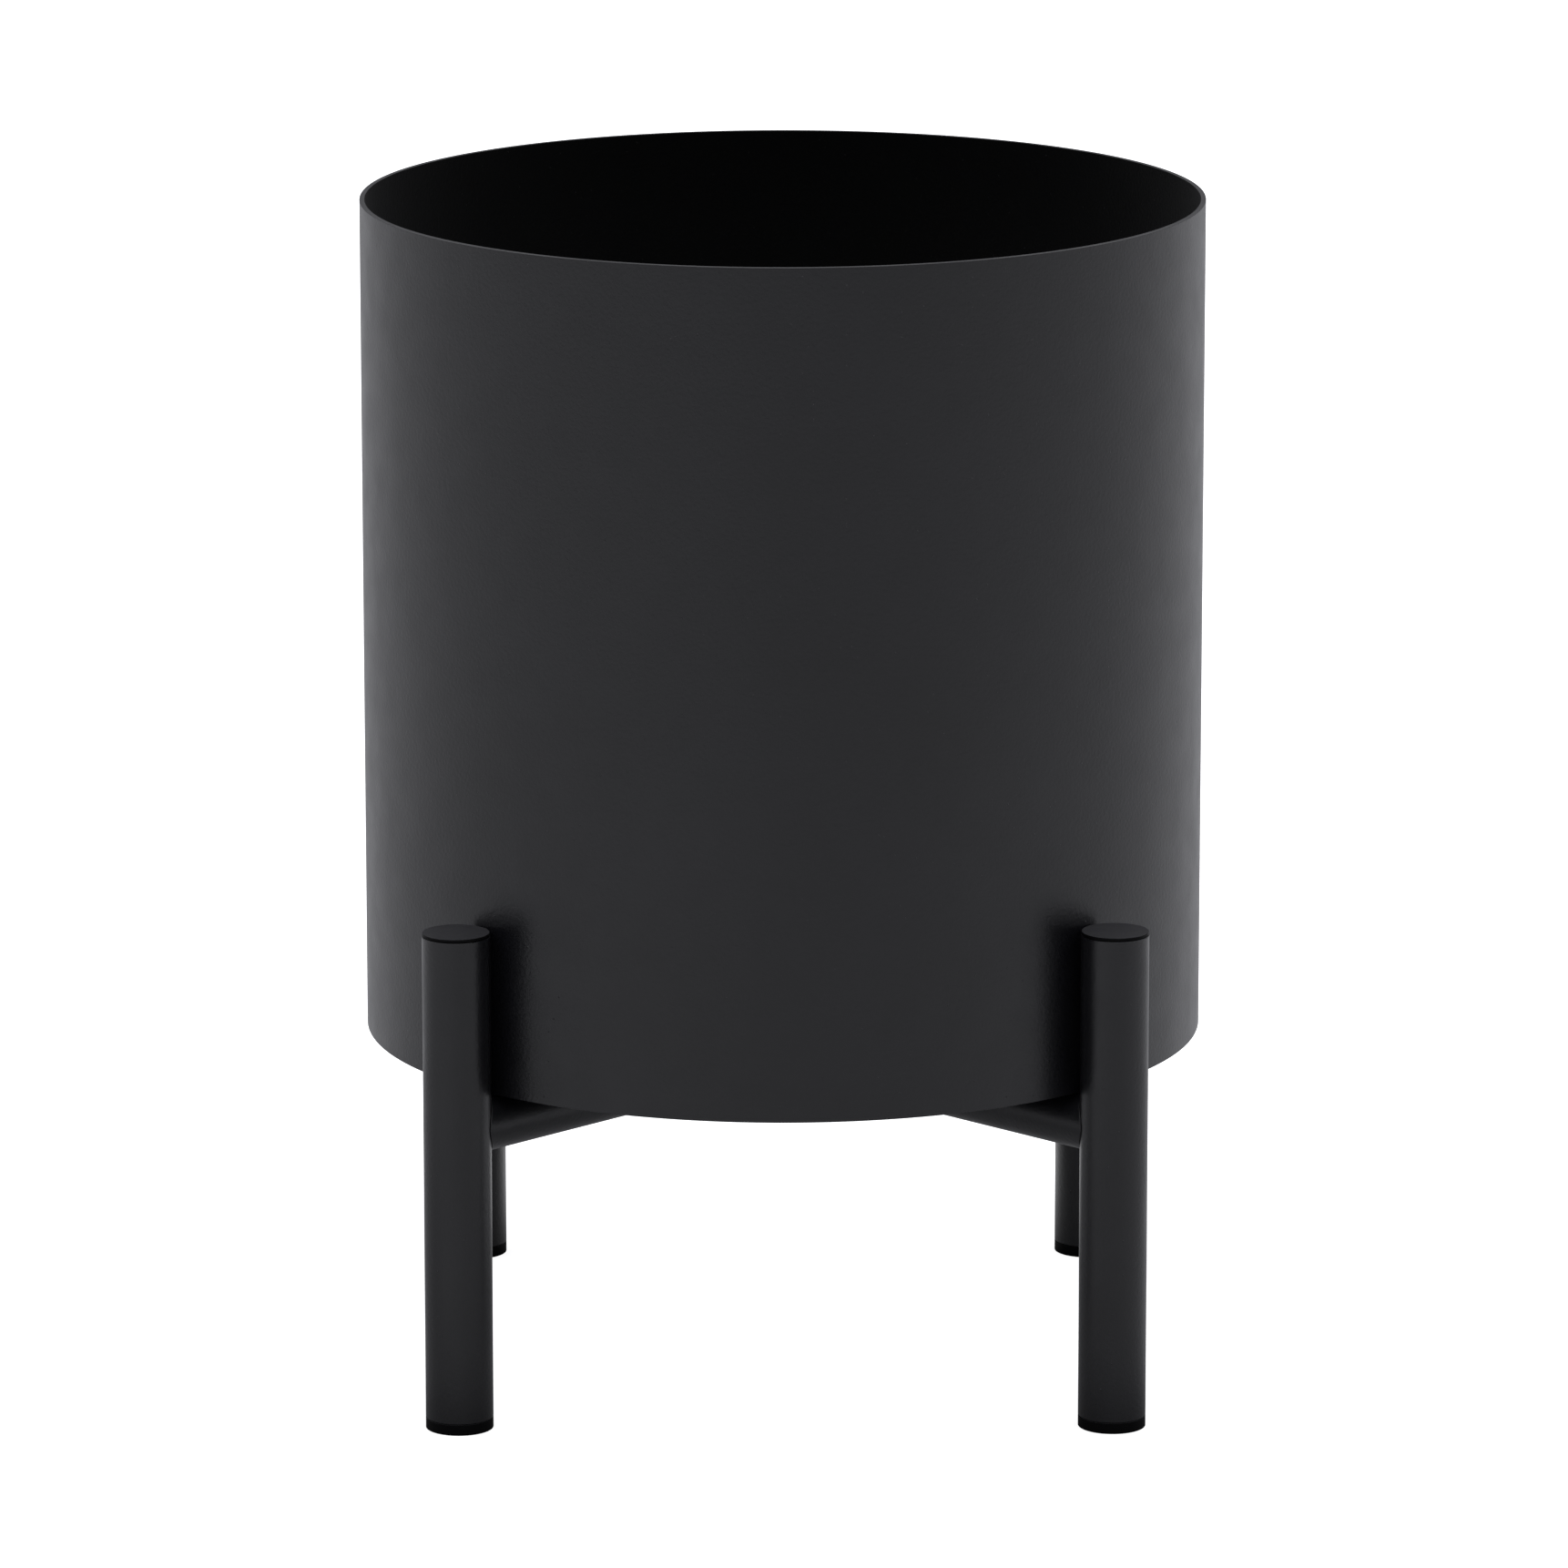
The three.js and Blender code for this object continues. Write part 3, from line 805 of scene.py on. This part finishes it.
def make_bucket_wall():
    rows = 100
    heights = [BUCKET_BOTTOM + (SHEET_TOP - BUCKET_BOTTOM) * i / rows for i in range(rows + 1)]
    outer = [(bucket_radius(h), h) for h in heights]
    inner = [(radius - BUCKET_WALL, h) for radius, h in reversed(outer)]
    roll = arc(ROLL_PLACE, BUCKET_TOP - ROLL_RADIUS, ROLL_RADIUS, ROLL_START, ROLL_END, 26)
    wall = turned("liner_wall_sheet", outer + roll + inner, ring=True)
    drills = []
    for side in (-1, 1):
        for end in (-1, 1):
            shift = (side * BUCKET_TOP_RADIUS, end * RIVET_OFFSET, PIVOT_HEIGHT)
            drills.append(cross_drill(SHANK_HOLE, shift, reach=8 * MM, sides=24))
    drilled(wall, drills)
    finish_piece(wall, "liner", zinc, "liner_wall")


def make_bucket_seam():
    """The lapped upright seam of the bucket's sheet, at the rear right."""
    half, proud, edge = 4 * MM, 0.8 * MM, 0.3 * MM
    turn = math.radians(52)
    rows = 80
    low, high = BUCKET_BOTTOM + 1 * MM, BUCKET_TOP - 3.2 * ROLL_RADIUS
    section = [
        (-half, -edge),
        (-half, proud - edge),
        (-half + edge, proud),
        (half - edge, proud),
        (half, proud - edge),
        (half, -edge),
    ]
    rings = []
    for i in range(rows + 1):
        height = low + (high - low) * i / rows
        ring = []
        for across, out in section:
            radius = bucket_radius(height) + out
            ring.append(around(radius, turn + across / radius, height))
        rings.append(ring)
    finish_piece(stacked("liner_seam", rings, capped=True), "liner", zinc)


def make_bucket_floor():
    """The pressed floor: its rim is turned down, and its middle is sunk by a shallow step."""
    low, high = bucket_floor_low.z, bucket_floor_high.z
    radius = bucket_floor_high.x
    inner = radius - BUCKET_WALL
    under = high - BUCKET_WALL
    step = 1.4 * MM
    step_inner, step_outer = 0.78 * radius, 0.82 * radius
    profile = [
        (0, under - step, 0),
        (step_inner, under - step, 2 * MM),
        (step_outer, under, 2 * MM),
        (inner, under, 0.8 * MM),
        (inner, low, 0.2 * MM),
        (radius, low, 0.2 * MM),
        (radius, high, 1.2 * MM),
        (step_outer, high, 2 * MM),
        (step_inner, high - step, 2 * MM),
        (0, high - step, 0),
    ]
    base = turned("liner_base_pressing", rounded(profile, 4))
    finish_piece(base, "liner", zinc, "liner_base")


def rivet(name, grip, head, dome, tail):
    """A domed rivet along Z: its head stands on height 0, its tail is spread below the grip."""
    skirt = 0.12
    end = -grip - RIVET_TAIL
    profile = [
        (0, end),
        (0.8 * tail, end),
        (tail, -grip - 0.7 * RIVET_TAIL),
        (tail, -grip - 0.1 * RIVET_TAIL),
        (0.95 * tail, -grip),
        (RIVET_SHANK, -grip),
        (RIVET_SHANK, 0),
        (head, 0),
        (head, skirt * dome),
    ]
    steps = 9
    for i in range(1, steps):
        angle = QUARTER * i / steps
        profile.append((head * math.cos(angle), dome * (skirt + (1 - skirt) * math.sin(angle))))
    profile.append((0, dome))
    return turned(name, profile, RIVET_SEGMENTS)


def make_ear(side, turn):
    """A hat-shaped strap with a hole for the bail in its crown and a rivet in each foot."""
    thick = EAR_THICKNESS
    out = ear_high.x - ear_low.x
    half = ear_high.y
    foot, crown, inset = 11.7 * MM, 8.2 * MM, 1.2 * MM
    tip, inner_bend, outer_bend = 0.3 * MM, 1 * MM, 2.6 * MM
    corners = [
        (0, -half, tip),
        (thick, -half, tip),
        (thick, -foot, inner_bend),
        (out, -crown, outer_bend),
        (out, crown, outer_bend),
        (thick, foot, inner_bend),
        (thick, half, tip),
        (0, half, tip),
        (0, foot - inset, outer_bend),
        (out - thick, crown - inset, inner_bend),
        (out - thick, inset - crown, inner_bend),
        (0, inset - foot, outer_bend),
    ]
    outline = rounded(corners, 5, closed=True)
    strap = extruded(f"bail_ear_{side}_strap", outline, ear_high.z - ear_low.z)
    bevelled(strap, width=0.35 * MM, angle=60)
    bail_bore = BAIL_WIRE + 0.6 * MM
    bores = ((-RIVET_OFFSET, SHANK_HOLE), (0, bail_bore), (RIVET_OFFSET, SHANK_HOLE))
    drilled(strap, [cross_drill(radius, (0, y, 0), reach=2 * out, sides=32) for y, radius in bores])
    stand = Matrix.Rotation(turn, 4, "Z") @ Matrix.Translation((ear_low.x, 0, PIVOT_HEIGHT))
    finish_piece(place(strap, stand), "liner", zinc, f"bail_ear_{side}")
    tail_room = 2.6 * MM
    grip = thick + BUCKET_WALL + tail_room
    for name, end in (("a", -1), ("b", 1)):
        pin = rivet(f"ear_rivet_{side}_{name}_steel", grip, head=4 * MM, dome=1.8 * MM, tail=3.4 * MM)
        place(pin, Matrix.Rotation(QUARTER, 4, "Y"))
        place(pin, Matrix.Translation((thick + SEAT_GAP, end * RIVET_OFFSET, 0)))
        finish_piece(place(pin, stand), "liner", zinc, f"ear_rivet_{side}_{name}")


def make_bail():
    """The wire: a headed end in each ear, a tight bend outside the ear and a bow between them."""
    head_face = ear_high.x - EAR_THICKNESS - SEAT_GAP
    inner = head_face - BAIL_HEAD_DEPTH
    ends = [
        (inner, BAIL_HEAD - 0.5 * MM),
        (inner + 0.25 * MM, BAIL_HEAD),
        (head_face - 0.3 * MM, BAIL_HEAD),
        (head_face, BAIL_HEAD - 0.4 * MM),
        (head_face + 0.03 * MM, BAIL_WIRE),
    ]
    flat = [(x, 0) for x, _ in ends]
    flat += arc(BAIL_RADIUS - BAIL_BEND, BAIL_BEND, BAIL_BEND, -QUARTER, 0, 8)
    flat += arc(0, 0, BAIL_RADIUS, math.asin(BAIL_BEND / BAIL_RADIUS), QUARTER, 120)[1:]
    radii = [radius for _, radius in ends]
    radii += [BAIL_WIRE] * (len(flat) - len(radii))
    path = [(x, y, 0) for x, y in flat] + [(-x, y, 0) for x, y in reversed(flat[:-1])]
    wire = swept("bail_wire", path, radii + radii[-2::-1], 24, up=(0, 0, 1))
    place(wire, Matrix.Rotation(-BAIL_DROOP, 4, "X"))
    place(wire, Matrix.Translation((0, 0, PIVOT_HEIGHT)))
    finish_piece(wire, "bail", zinc, "bail", angle=45)


def make_bucket():
    make_bucket_wall()
    make_bucket_seam()
    make_bucket_floor()
    make_ear("right", 0)
    make_ear("left", math.pi)
    make_bail()


# ---------------------------------------------------------------------------------------------------
# Stub plate
# ---------------------------------------------------------------------------------------------------


def saddle_drills(low, high, sides):
    """Drills for the saddle's two rivets."""
    drills = []
    for end in (-1, 1):
        hole = drill(SHANK_HOLE, low, high, 0.1 * MM, sides)
        drills.append(place(hole, Matrix.Translation((0, end * SADDLE_RIVET, 0))))
    return drills


def make_plate():
    """The dished plate: a lip round its edge, a sloped step down to the dish, and the stub holes."""
    top = plate_high.z
    under = top - PLATE_SHEET
    lip_inner, lip_low = PLATE_RADIUS - PLATE_SHEET, top - PLATE_LIP
    rise = DISH_RADIUS + DISH_SLOPE
    profile = [
        (0, DISH_UNDER, 0),
        (DISH_RADIUS, DISH_UNDER, 4 * MM),
        (rise, under, 2.5 * MM),
        (lip_inner, under, 1.2 * MM),
        (lip_inner, lip_low, 0.3 * MM),
        (PLATE_RADIUS, lip_low, 0.3 * MM),
        (PLATE_RADIUS, top, 2.4 * MM),
        (rise, top, 4 * MM),
        (DISH_RADIUS, DISH_TOP, 2.5 * MM),
        (0, DISH_TOP, 0),
    ]
    plate = turned("stub_plate_pressing", rounded(profile, 6))
    drills = []
    for distance, count in STUB_RINGS:
        drills += drill_circle(count, distance, STUB_HOLE, DISH_UNDER, DISH_TOP, 0.25 * MM, 28)
    drilled(plate, drills + saddle_drills(DISH_UNDER, DISH_TOP, 20))
    finish_piece(plate, "ash_tray", steel, "stub_plate")


def make_saddle():
    """A strap bent over the ring's straight side, with a rivet through each of its two feet."""
    sheet = SADDLE_SHEET
    hub = RING_HEIGHT - DISH_TOP - SEAT_GAP
    inner = RING_WIRE + 0.6 * MM
    outer = inner + sheet
    toe = [(outer + 0.6 * MM, sheet), (outer + 0.15 * MM, sheet + 0.2 * MM)]
    outline = [(-SADDLE_HALF, 0), (-inner, 0)]
    outline += arc(0, hub, inner, math.pi, 0, 14)
    outline += [(inner, 0), (SADDLE_HALF, 0), (SADDLE_HALF, sheet)]
    outline += toe
    outline += arc(0, hub, outer, 0, math.pi, 14)
    outline += [(-x, z) for x, z in reversed(toe)]
    outline += [(-SADDLE_HALF, sheet)]
    strap = extruded("ring_saddle_strap", outline, SADDLE_WIDTH)
    place(strap, Matrix.Rotation(QUARTER, 4, "Z") @ Matrix.Rotation(QUARTER, 4, "X"))
    bevelled(strap, width=0.25 * MM, angle=50)
    drilled(strap, saddle_drills(0, sheet, 24))
    place(strap, Matrix.Translation((0, 0, DISH_TOP + SEAT_GAP)))
    finish_piece(strap, "ash_tray", steel, "ring_saddle")
    grip = PLATE_SHEET + sheet + 3 * SEAT_GAP
    for name, end in (("front", -1), ("rear", 1)):
        pin = rivet(f"saddle_rivet_{name}_steel", grip, head=3.6 * MM, dome=1.4 * MM, tail=3.2 * MM)
        place(pin, Matrix.Translation((0, end * SADDLE_RIVET, DISH_TOP + sheet + 2 * SEAT_GAP)))
        finish_piece(pin, "ash_tray", steel, f"saddle_rivet_{name}")


def make_ring():
    """The D ring: a straight side along X, two tight bends and a bow to the front."""
    side = RING_RADIUS - RING_BEND
    first = math.asin(RING_BEND / RING_RADIUS)
    spans = 12
    flat = arc(side, -RING_BEND, RING_BEND, QUARTER, 0, 8)
    flat += arc(0, 0, RING_RADIUS, -first, first - math.pi, 40)[1:-1]
    flat += arc(-side, -RING_BEND, RING_BEND, math.pi, QUARTER, 8)
    flat += [(-side + 2 * side * i / spans, 0) for i in range(1, spans)]
    path = [(x, y, 0) for x, y in flat]
    ring = swept("lift_ring_wire", path, RING_WIRE, 24, closed=True, up=(0, 0, 1))
    place(ring, Matrix.Translation((0, 0, RING_HEIGHT)))
    finish_piece(ring, "lift_ring", steel, "lift_ring", angle=60)


def make_tray():
    make_plate()
    make_saddle()
    make_ring()


make_stand()
make_pot()
make_bucket()
make_tray()

# ---------------------------------------------------------------------------------------------------
# Light, floor and camera
# ---------------------------------------------------------------------------------------------------

# The camera's place and the turns of its aim. CAMERA_SENSOR and CAMERA_LENS are in millimetres.
CAMERA_DISTANCE = 4.5013
CAMERA_HEIGHT = 1.3016
CAMERA_SIDE = math.radians(-0.4627)
CAMERA_PAN = math.radians(-0.0067)
CAMERA_PITCH = math.radians(12.8545)
CAMERA_ROLL = math.radians(-0.02)
CAMERA_LENS = 221.16
CAMERA_SENSOR = 36
CAMERA_RANGE = 200

# The sky is dim up to one height, brightest at another and softer straight up. Heights run from
# 0 at the horizon to 1 straight up.
SKY_TINT = (0.975, 0.98, 1.03)
SKY_LOW = 0.15
SKY_HIGH = 1.75
SKY_TOP = 0.75
SKY_LOW_TO = 0.3
SKY_HIGH_AT = 0.62
PAGE_GLOW = 1.1

# The floor's tone in front of and behind the bin, with painted shadows and painted pools of light on it.
# Each reach is where its effect is full and where it ends, in metres.
FLOOR_SIZE = 30
FLOOR_GLOW = 0.9
FLOOR_FRONT = 0.60
FLOOR_BACK = 0.62
FOOT_SHADOW_TONE = 0.45
FOOT_SHADOW_REACH = (0.02, 0.16)
LEFT_FRONT = Vector((-0.9, -0.43, 0))
RIGHT_SIDE = Vector((0.98, 0.17, 0))
SIDE_LIGHT_GAIN = 0.10
SIDE_SPREAD = 0.3
LEFT_SHADE = -0.3
LEFT_SHADE_PLACE = (-0.5, -0.04, 0)
LEFT_SHADE_REACH = (0.12, 0.42)
REAR_FILL = 0.5
REAR_FILL_PLACE = (0, 0.42, 0)
REAR_FILL_REACH = (0.12, 0.34)


def make_camera():
    camera = bpy.data.objects.new("camera", bpy.data.cameras.new("camera"))
    bpy.context.scene.collection.objects.link(camera)
    camera.data.lens = CAMERA_LENS
    camera.data.sensor_width = CAMERA_SENSOR
    camera.data.clip_end = CAMERA_RANGE
    across = CAMERA_DISTANCE * math.sin(CAMERA_SIDE)
    back = CAMERA_DISTANCE * math.cos(CAMERA_SIDE)
    aim = Matrix.Rotation(CAMERA_SIDE + CAMERA_PAN, 4, "Z")
    aim = aim @ Matrix.Rotation(QUARTER - CAMERA_PITCH, 4, "X")
    aim = aim @ Matrix.Rotation(CAMERA_ROLL, 4, "Z")
    camera.matrix_world = Matrix.Translation((across, -back, CAMERA_HEIGHT)) @ aim
    bpy.context.scene.camera = camera


def make_world():
    """A soft studio: a broad ring of light from above, dim low down, and a white page for the camera."""
    world = bpy.data.worlds.new("studio")
    bpy.context.scene.world = world
    world.use_nodes = True
    nodes = world.node_tree.nodes
    wires = Wiring(world.node_tree)
    sky = nodes["Background"]
    sky.inputs["Color"].default_value = (*SKY_TINT, 1)
    height = wires.along(wires.add("ShaderNodeTexCoord").outputs["Generated"], (0, 0, 1))
    rise = wires.span(height, SKY_LOW_TO, SKY_HIGH_AT, SKY_LOW, SKY_HIGH, "SMOOTHSTEP")
    fall = wires.span(height, SKY_HIGH_AT, 1, 0, SKY_TOP - SKY_HIGH, "SMOOTHSTEP")
    wires.link(wires.pair("ADD", rise, fall), sky.inputs["Strength"])
    page = wires.add("ShaderNodeBackground")
    page.inputs["Strength"].default_value = PAGE_GLOW
    mix = wires.add("ShaderNodeMixShader")
    wires.link(wires.add("ShaderNodeLightPath").outputs["Is Camera Ray"], mix.inputs["Fac"])
    wires.link(sky.outputs["Background"], mix.inputs[1])
    wires.link(page.outputs["Background"], mix.inputs[2])
    wires.link(mix.outputs["Shader"], nodes["World Output"].inputs["Surface"])


def floor_tone_and_painted_light(wires, place):
    """Painted light at the left front and the right, painted shade close to the left and round each
    foot.
    """
    way = wires.vector("NORMALIZE", place)["Vector"]
    tone = wires.span(wires.along(way, (0, 1, 0)), -1, 1, FLOOR_FRONT, FLOOR_BACK)
    # Painted pools of light, to the left front and to the right.
    for side in (LEFT_FRONT, RIGHT_SIDE):
        side_light = wires.span(wires.along(way, side), SIDE_SPREAD, 1, 0, SIDE_LIGHT_GAIN, "SMOOTHSTEP")
        tone = wires.pair("ADD", tone, side_light)
    # A painted shadow to the left of the bin.
    to_shade = wires.distance(place, LEFT_SHADE_PLACE)
    shade = wires.span(to_shade, *LEFT_SHADE_REACH, LEFT_SHADE, 0, "SMOOTHSTEP")
    tone = wires.pair("ADD", tone, shade)
    # A painted shadow round each foot.
    folded = wires.vector("ABSOLUTE", place)["Vector"]
    to_foot = wires.distance(folded, (LEG_PLACE, LEG_PLACE, 0))
    foot_shadow = wires.span(to_foot, *FOOT_SHADOW_REACH, FOOT_SHADOW_TONE, 1, "SMOOTHSTEP")
    return wires.pair("MULTIPLY", tone, foot_shadow)


def floor_glow(wires, place):
    """White for the camera. For other light, a soft pool behind the bin lights the rear legs."""
    to_pool = wires.distance(place, REAR_FILL_PLACE)
    pool = wires.span(to_pool, *REAR_FILL_REACH, REAR_FILL, 0, "SMOOTHSTEP")
    mix = wires.add("ShaderNodeMix", data_type="FLOAT")
    wires.link(wires.add("ShaderNodeLightPath").outputs["Is Camera Ray"], mix.inputs["Factor"])
    wires.link(pool, mix.inputs["A"])
    mix.inputs["B"].default_value = FLOOR_GLOW
    return mix.outputs["Result"]


def make_floor():
    """A plain pale floor."""
    size = FLOOR_SIZE
    corners = [(-size, -size, 0), (size, -size, 0), (size, size, 0), (-size, size, 0)]
    floor = new_piece("studio_floor", corners, [[0, 1, 2, 3]])
    material = bpy.data.materials.new("pale_floor")
    material.use_nodes = True
    tree = material.node_tree
    tree.nodes.remove(tree.nodes["Principled BSDF"])
    wires = Wiring(tree)
    place = wires.add("ShaderNodeNewGeometry").outputs["Position"]
    diffuse = wires.add("ShaderNodeBsdfDiffuse")
    wires.link(floor_tone_and_painted_light(wires, place), diffuse.inputs["Color"])
    glow = wires.add("ShaderNodeEmission")
    wires.link(floor_glow(wires, place), glow.inputs["Strength"])
    both = wires.add("ShaderNodeAddShader")
    wires.link(diffuse.outputs[0], both.inputs[0])
    wires.link(glow.outputs[0], both.inputs[1])
    wires.link(both.outputs[0], tree.nodes["Material Output"].inputs["Surface"])
    floor.data.materials.append(material)


make_camera()
make_world()
make_floor()
bpy.context.scene.view_settings.view_transform = "Standard"
